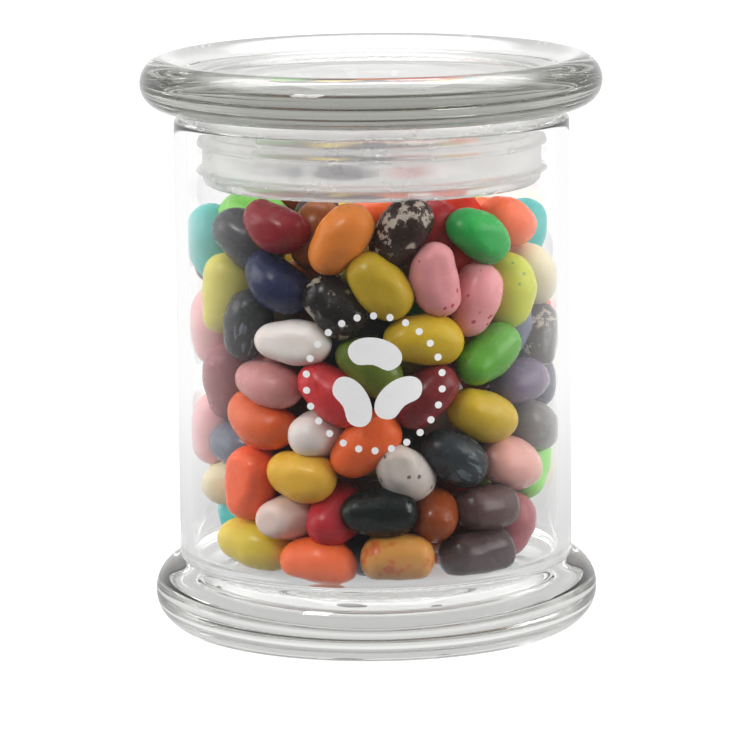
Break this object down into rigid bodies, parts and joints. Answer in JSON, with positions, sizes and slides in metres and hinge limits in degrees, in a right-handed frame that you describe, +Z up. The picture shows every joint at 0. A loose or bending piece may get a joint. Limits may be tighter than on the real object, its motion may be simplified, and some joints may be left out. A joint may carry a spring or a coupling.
{
  "type": "lidded glass jar of jelly beans",
  "caption": "Footed clear glass storage jar with a flat glass lid and ribbed seal, filled to the lid with mixed glossy jelly beans.",
  "frame": {"origin": "centre of the box's underside, on the table under the jar's axis", "axes": "+Z up along the jar's axis, the printed front faces -Y"},
  "size_m": [0.092, 0.092, 0.1143],
  "materials": {
    "clear_glass": "clear pressed glass, fire-polished",
    "seal_plastic": "milky soft plastic",
    "sugar_shell": "polished sugar shell in mixed colours, some speckled",
    "white_print": "fired white print"
  },
  "bodies": {
    "root": {"jar": "clear_glass", "lid": "clear_glass", "lid_seal": "seal_plastic", "jelly_bean_heap": "sugar_shell"}
  },
  "joints": []
}
